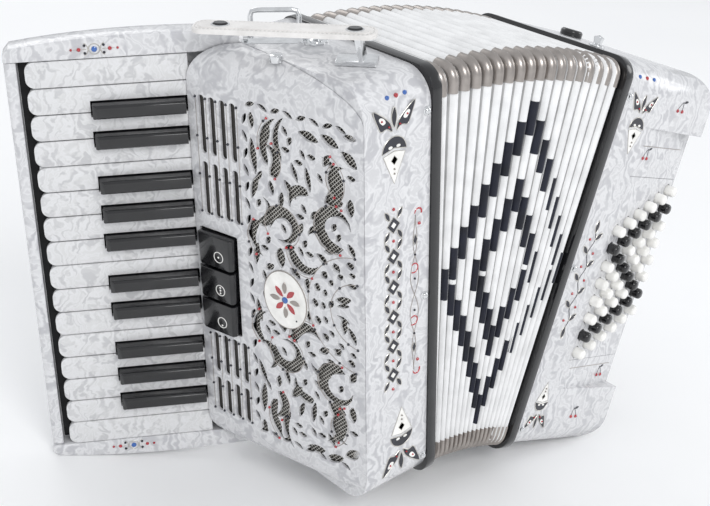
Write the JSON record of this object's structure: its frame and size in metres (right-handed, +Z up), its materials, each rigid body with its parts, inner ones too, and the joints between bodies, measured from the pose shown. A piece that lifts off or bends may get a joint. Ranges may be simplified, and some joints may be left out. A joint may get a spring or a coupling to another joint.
{
  "type": "piano accordion",
  "caption": "Piano accordion with treble keyboard, register switches, fanned bellows, bass buttons and hand strap, standing on its base",
  "frame": {"origin": "centre of the bounding box in plan, on the surface the accordion stands on", "axes": "+X from the treble side to the bass side, -Y the front with the ornament, +Z up"},
  "size_m": [0.505, 0.2248, 0.3573],
  "materials": {
    "pearl_celluloid": "white mother-of-pearl celluloid, polished",
    "key_white": "polished ivory white",
    "key_black": "polished black",
    "switch_black": "polished black",
    "button_plastic": "polished, white and black buttons",
    "black_plastic": "polished black",
    "reed_wood": "planed, matt lacquer",
    "frame_black": "black lacquered wood",
    "bellows_cloth": "white and grey coated cloth on card",
    "grille_mesh": "dark woven grille cloth",
    "bass_strap_leather": "black, lined",
    "white_leather": "white, stitched",
    "chrome_steel": "polished"
  },
  "bodies": {
    "treble": {"key_axle": "chrome_steel", "keyboard_bed": "pearl_celluloid", "keyboard_rail": "pearl_celluloid", "keyboard_end_cap_top": "pearl_celluloid", "keyboard_end_cap_bottom": "pearl_celluloid", "treble_casing": "pearl_celluloid", "grille_cover": "pearl_celluloid", "grille_mesh": "grille_mesh", "treble_soundboard": "reed_wood", "treble_reed_block": "reed_wood", "treble_bellows_frame": "frame_black", "bellows": "bellows_cloth", "grille_screw_top": "chrome_steel", "bellows_strap_bracket": "chrome_steel"},
    "bass": {"bass_bellows_frame": "frame_black", "bass_button_panel": "pearl_celluloid", "bass_casing": "pearl_celluloid", "bass_soundboard": "reed_wood", "bass_reed_block": "reed_wood", "bass_strap": "bass_strap_leather", "bass_strap_stud": "chrome_steel"},
    "key_white_B0": {"key_white_B0": "key_white"},
    "key_white_C1": {"key_white_C1": "key_white"},
    "key_white_D1": {"key_white_D1": "key_white"},
    "key_white_E1": {"key_white_E1": "key_white"},
    "key_white_F1": {"key_white_F1": "key_white"},
    "key_white_G1": {"key_white_G1": "key_white"},
    "key_white_A1": {"key_white_A1": "key_white"},
    "key_white_B1": {"key_white_B1": "key_white"},
    "key_white_C2": {"key_white_C2": "key_white"},
    "key_white_D2": {"key_white_D2": "key_white"},
    "key_white_E2": {"key_white_E2": "key_white"},
    "key_white_F2": {"key_white_F2": "key_white"},
    "key_white_G2": {"key_white_G2": "key_white"},
    "key_white_A2": {"key_white_A2": "key_white"},
    "key_white_B2": {"key_white_B2": "key_white"},
    "key_white_C3": {"key_white_C3": "key_white"},
    "key_black_Cs1": {"key_black_Cs1": "key_black"},
    "key_black_Ds1": {"key_black_Ds1": "key_black"},
    "key_black_Fs1": {"key_black_Fs1": "key_black"},
    "key_black_Gs1": {"key_black_Gs1": "key_black"},
    "key_black_As1": {"key_black_As1": "key_black"},
    "key_black_Cs2": {"key_black_Cs2": "key_black"},
    "key_black_Ds2": {"key_black_Ds2": "key_black"},
    "key_black_Fs2": {"key_black_Fs2": "key_black"},
    "key_black_Gs2": {"key_black_Gs2": "key_black"},
    "key_black_As2": {"key_black_As2": "key_black"},
    "bass_buttons_counter": {"bass_buttons_counter": "button_plastic"},
    "bass_buttons_root": {"bass_buttons_root": "button_plastic"},
    "bass_buttons_major": {"bass_buttons_major": "button_plastic"},
    "bass_buttons_minor": {"bass_buttons_minor": "button_plastic"},
    "bass_buttons_seventh": {"bass_buttons_seventh": "button_plastic"},
    "bass_buttons_diminished": {"bass_buttons_diminished": "button_plastic"},
    "bass_strap_wheel": {"bass_strap_wheel": "black_plastic"},
    "air_button": {"air_button": "black_plastic"},
    "register_switch_bassoon": {"register_switch_bassoon": "switch_black"},
    "register_switch_master": {"register_switch_master": "switch_black"},
    "register_switch_clarinet": {"register_switch_clarinet": "switch_black"},
    "shoulder_strap_loop": {"shoulder_strap_loop": "chrome_steel"},
    "bellows_strap": {"bellows_strap": "white_leather"}
  },
  "joints": [
    {"name": "bellows_fan", "type": "hinge", "parent": "treble", "child": "bass", "pos_m": [0.02157, -0.02805, 0.02467], "axis": [0, 1, 0], "range_deg": [-21.6, 12], "deforming": ["bellows"]},
    {"name": "key_white_B0_press", "type": "hinge", "parent": "treble", "child": "key_white_B0", "pos_m": [-0.10711, 0.03046, 0.17017], "axis": [0.1392, 0, -0.9903], "range_deg": [0, 2.2], "stiffness_Nm_per_rad": 0.4, "springref_deg": -8.59},
    {"name": "key_white_C1_press", "type": "hinge", "parent": "treble", "child": "key_white_C1", "pos_m": [-0.10711, 0.03046, 0.17017], "axis": [0.1392, 0, -0.9903], "range_deg": [0, 2.2], "stiffness_Nm_per_rad": 0.4, "springref_deg": -8.59},
    {"name": "key_black_Cs1_press", "type": "hinge", "parent": "treble", "child": "key_black_Cs1", "pos_m": [-0.10711, 0.03046, 0.17017], "axis": [0.1392, 0, -0.9903], "range_deg": [0, 2.2], "stiffness_Nm_per_rad": 0.4, "springref_deg": -8.59},
    {"name": "key_white_D1_press", "type": "hinge", "parent": "treble", "child": "key_white_D1", "pos_m": [-0.10711, 0.03046, 0.17017], "axis": [0.1392, 0, -0.9903], "range_deg": [0, 2.2], "stiffness_Nm_per_rad": 0.4, "springref_deg": -8.59},
    {"name": "key_black_Ds1_press", "type": "hinge", "parent": "treble", "child": "key_black_Ds1", "pos_m": [-0.10711, 0.03046, 0.17017], "axis": [0.1392, 0, -0.9903], "range_deg": [0, 2.2], "stiffness_Nm_per_rad": 0.4, "springref_deg": -8.59},
    {"name": "key_white_E1_press", "type": "hinge", "parent": "treble", "child": "key_white_E1", "pos_m": [-0.10711, 0.03046, 0.17017], "axis": [0.1392, 0, -0.9903], "range_deg": [0, 2.2], "stiffness_Nm_per_rad": 0.4, "springref_deg": -8.59},
    {"name": "key_white_F1_press", "type": "hinge", "parent": "treble", "child": "key_white_F1", "pos_m": [-0.10711, 0.03046, 0.17017], "axis": [0.1392, 0, -0.9903], "range_deg": [0, 2.2], "stiffness_Nm_per_rad": 0.4, "springref_deg": -8.59},
    {"name": "key_black_Fs1_press", "type": "hinge", "parent": "treble", "child": "key_black_Fs1", "pos_m": [-0.10711, 0.03046, 0.17017], "axis": [0.1392, 0, -0.9903], "range_deg": [0, 2.2], "stiffness_Nm_per_rad": 0.4, "springref_deg": -8.59},
    {"name": "key_white_G1_press", "type": "hinge", "parent": "treble", "child": "key_white_G1", "pos_m": [-0.10711, 0.03046, 0.17017], "axis": [0.1392, 0, -0.9903], "range_deg": [0, 2.2], "stiffness_Nm_per_rad": 0.4, "springref_deg": -8.59},
    {"name": "key_black_Gs1_press", "type": "hinge", "parent": "treble", "child": "key_black_Gs1", "pos_m": [-0.10711, 0.03046, 0.17017], "axis": [0.1392, 0, -0.9903], "range_deg": [0, 2.2], "stiffness_Nm_per_rad": 0.4, "springref_deg": -8.59},
    {"name": "key_white_A1_press", "type": "hinge", "parent": "treble", "child": "key_white_A1", "pos_m": [-0.10711, 0.03046, 0.17017], "axis": [0.1392, 0, -0.9903], "range_deg": [0, 2.2], "stiffness_Nm_per_rad": 0.4, "springref_deg": -8.59},
    {"name": "key_black_As1_press", "type": "hinge", "parent": "treble", "child": "key_black_As1", "pos_m": [-0.10711, 0.03046, 0.17017], "axis": [0.1392, 0, -0.9903], "range_deg": [0, 2.2], "stiffness_Nm_per_rad": 0.4, "springref_deg": -8.59},
    {"name": "key_white_B1_press", "type": "hinge", "parent": "treble", "child": "key_white_B1", "pos_m": [-0.10711, 0.03046, 0.17017], "axis": [0.1392, 0, -0.9903], "range_deg": [0, 2.2], "stiffness_Nm_per_rad": 0.4, "springref_deg": -8.59},
    {"name": "key_white_C2_press", "type": "hinge", "parent": "treble", "child": "key_white_C2", "pos_m": [-0.10711, 0.03046, 0.17017], "axis": [0.1392, 0, -0.9903], "range_deg": [0, 2.2], "stiffness_Nm_per_rad": 0.4, "springref_deg": -8.59},
    {"name": "key_black_Cs2_press", "type": "hinge", "parent": "treble", "child": "key_black_Cs2", "pos_m": [-0.10711, 0.03046, 0.17017], "axis": [0.1392, 0, -0.9903], "range_deg": [0, 2.2], "stiffness_Nm_per_rad": 0.4, "springref_deg": -8.59},
    {"name": "key_white_D2_press", "type": "hinge", "parent": "treble", "child": "key_white_D2", "pos_m": [-0.10711, 0.03046, 0.17017], "axis": [0.1392, 0, -0.9903], "range_deg": [0, 2.2], "stiffness_Nm_per_rad": 0.4, "springref_deg": -8.59},
    {"name": "key_black_Ds2_press", "type": "hinge", "parent": "treble", "child": "key_black_Ds2", "pos_m": [-0.10711, 0.03046, 0.17017], "axis": [0.1392, 0, -0.9903], "range_deg": [0, 2.2], "stiffness_Nm_per_rad": 0.4, "springref_deg": -8.59},
    {"name": "key_white_E2_press", "type": "hinge", "parent": "treble", "child": "key_white_E2", "pos_m": [-0.10711, 0.03046, 0.17017], "axis": [0.1392, 0, -0.9903], "range_deg": [0, 2.2], "stiffness_Nm_per_rad": 0.4, "springref_deg": -8.59},
    {"name": "key_white_F2_press", "type": "hinge", "parent": "treble", "child": "key_white_F2", "pos_m": [-0.10711, 0.03046, 0.17017], "axis": [0.1392, 0, -0.9903], "range_deg": [0, 2.2], "stiffness_Nm_per_rad": 0.4, "springref_deg": -8.59},
    {"name": "key_black_Fs2_press", "type": "hinge", "parent": "treble", "child": "key_black_Fs2", "pos_m": [-0.10711, 0.03046, 0.17017], "axis": [0.1392, 0, -0.9903], "range_deg": [0, 2.2], "stiffness_Nm_per_rad": 0.4, "springref_deg": -8.59},
    {"name": "key_white_G2_press", "type": "hinge", "parent": "treble", "child": "key_white_G2", "pos_m": [-0.10711, 0.03046, 0.17017], "axis": [0.1392, 0, -0.9903], "range_deg": [0, 2.2], "stiffness_Nm_per_rad": 0.4, "springref_deg": -8.59},
    {"name": "key_black_Gs2_press", "type": "hinge", "parent": "treble", "child": "key_black_Gs2", "pos_m": [-0.10711, 0.03046, 0.17017], "axis": [0.1392, 0, -0.9903], "range_deg": [0, 2.2], "stiffness_Nm_per_rad": 0.4, "springref_deg": -8.59},
    {"name": "key_white_A2_press", "type": "hinge", "parent": "treble", "child": "key_white_A2", "pos_m": [-0.10711, 0.03046, 0.17017], "axis": [0.1392, 0, -0.9903], "range_deg": [0, 2.2], "stiffness_Nm_per_rad": 0.4, "springref_deg": -8.59},
    {"name": "key_black_As2_press", "type": "hinge", "parent": "treble", "child": "key_black_As2", "pos_m": [-0.10711, 0.03046, 0.17017], "axis": [0.1392, 0, -0.9903], "range_deg": [0, 2.2], "stiffness_Nm_per_rad": 0.4, "springref_deg": -8.59},
    {"name": "key_white_B2_press", "type": "hinge", "parent": "treble", "child": "key_white_B2", "pos_m": [-0.10711, 0.03046, 0.17017], "axis": [0.1392, 0, -0.9903], "range_deg": [0, 2.2], "stiffness_Nm_per_rad": 0.4, "springref_deg": -8.59},
    {"name": "key_white_C3_press", "type": "hinge", "parent": "treble", "child": "key_white_C3", "pos_m": [-0.10711, 0.03046, 0.17017], "axis": [0.1392, 0, -0.9903], "range_deg": [0, 2.2], "stiffness_Nm_per_rad": 0.4, "springref_deg": -8.59},
    {"name": "register_switch_bassoon_press", "type": "slide", "parent": "treble", "child": "register_switch_bassoon", "axis": [0.9659, 0.2206, 0.1357], "range_m": [0, 0.003]},
    {"name": "register_switch_master_press", "type": "slide", "parent": "treble", "child": "register_switch_master", "axis": [0.9659, 0.2206, 0.1357], "range_m": [0, 0.003]},
    {"name": "register_switch_clarinet_press", "type": "slide", "parent": "treble", "child": "register_switch_clarinet", "axis": [0.9659, 0.2206, 0.1357], "range_m": [0, 0.003]},
    {"name": "bass_buttons_counter_press", "type": "slide", "parent": "bass", "child": "bass_buttons_counter", "axis": [-0.1353, 0.9903, 0.0327], "range_m": [0, 0.004], "stiffness_N_per_m": 150, "springref_m": -0.006},
    {"name": "bass_buttons_root_press", "type": "slide", "parent": "bass", "child": "bass_buttons_root", "axis": [-0.1353, 0.9903, 0.0327], "range_m": [0, 0.004], "stiffness_N_per_m": 150, "springref_m": -0.006},
    {"name": "bass_buttons_major_press", "type": "slide", "parent": "bass", "child": "bass_buttons_major", "axis": [-0.1353, 0.9903, 0.0327], "range_m": [0, 0.004], "stiffness_N_per_m": 150, "springref_m": -0.006},
    {"name": "bass_buttons_minor_press", "type": "slide", "parent": "bass", "child": "bass_buttons_minor", "axis": [-0.1353, 0.9903, 0.0327], "range_m": [0, 0.004], "stiffness_N_per_m": 150, "springref_m": -0.006},
    {"name": "bass_buttons_seventh_press", "type": "slide", "parent": "bass", "child": "bass_buttons_seventh", "axis": [-0.1353, 0.9903, 0.0327], "range_m": [0, 0.004], "stiffness_N_per_m": 150, "springref_m": -0.006},
    {"name": "bass_buttons_diminished_press", "type": "slide", "parent": "bass", "child": "bass_buttons_diminished", "axis": [-0.1353, 0.9903, 0.0327], "range_m": [0, 0.004], "stiffness_N_per_m": 150, "springref_m": -0.006},
    {"name": "air_button_press", "type": "slide", "parent": "bass", "child": "air_button", "axis": [-0.972, 0, 0.2351], "range_m": [0, 0.003], "stiffness_N_per_m": 150, "springref_m": -0.005},
    {"name": "bass_strap_wheel_turn", "type": "hinge", "parent": "bass", "child": "bass_strap_wheel", "pos_m": [0.19798, 0.00695, 0.30746], "axis": [0.2351, 0, 0.972], "continuous": true},
    {"name": "bellows_strap_fold", "type": "hinge", "parent": "treble", "child": "bellows_strap", "pos_m": [-0.08846, -0.07509, 0.35668], "axis": [0.7474, 0.6561, 0.105], "range_deg": [0, 170]},
    {"name": "shoulder_strap_loop_fold", "type": "hinge", "parent": "treble", "child": "shoulder_strap_loop", "pos_m": [-0.10464, 0.00495, 0.33351], "axis": [0.7586, -0.6428, 0.1066], "range_deg": [-75, 60]}
  ]
}
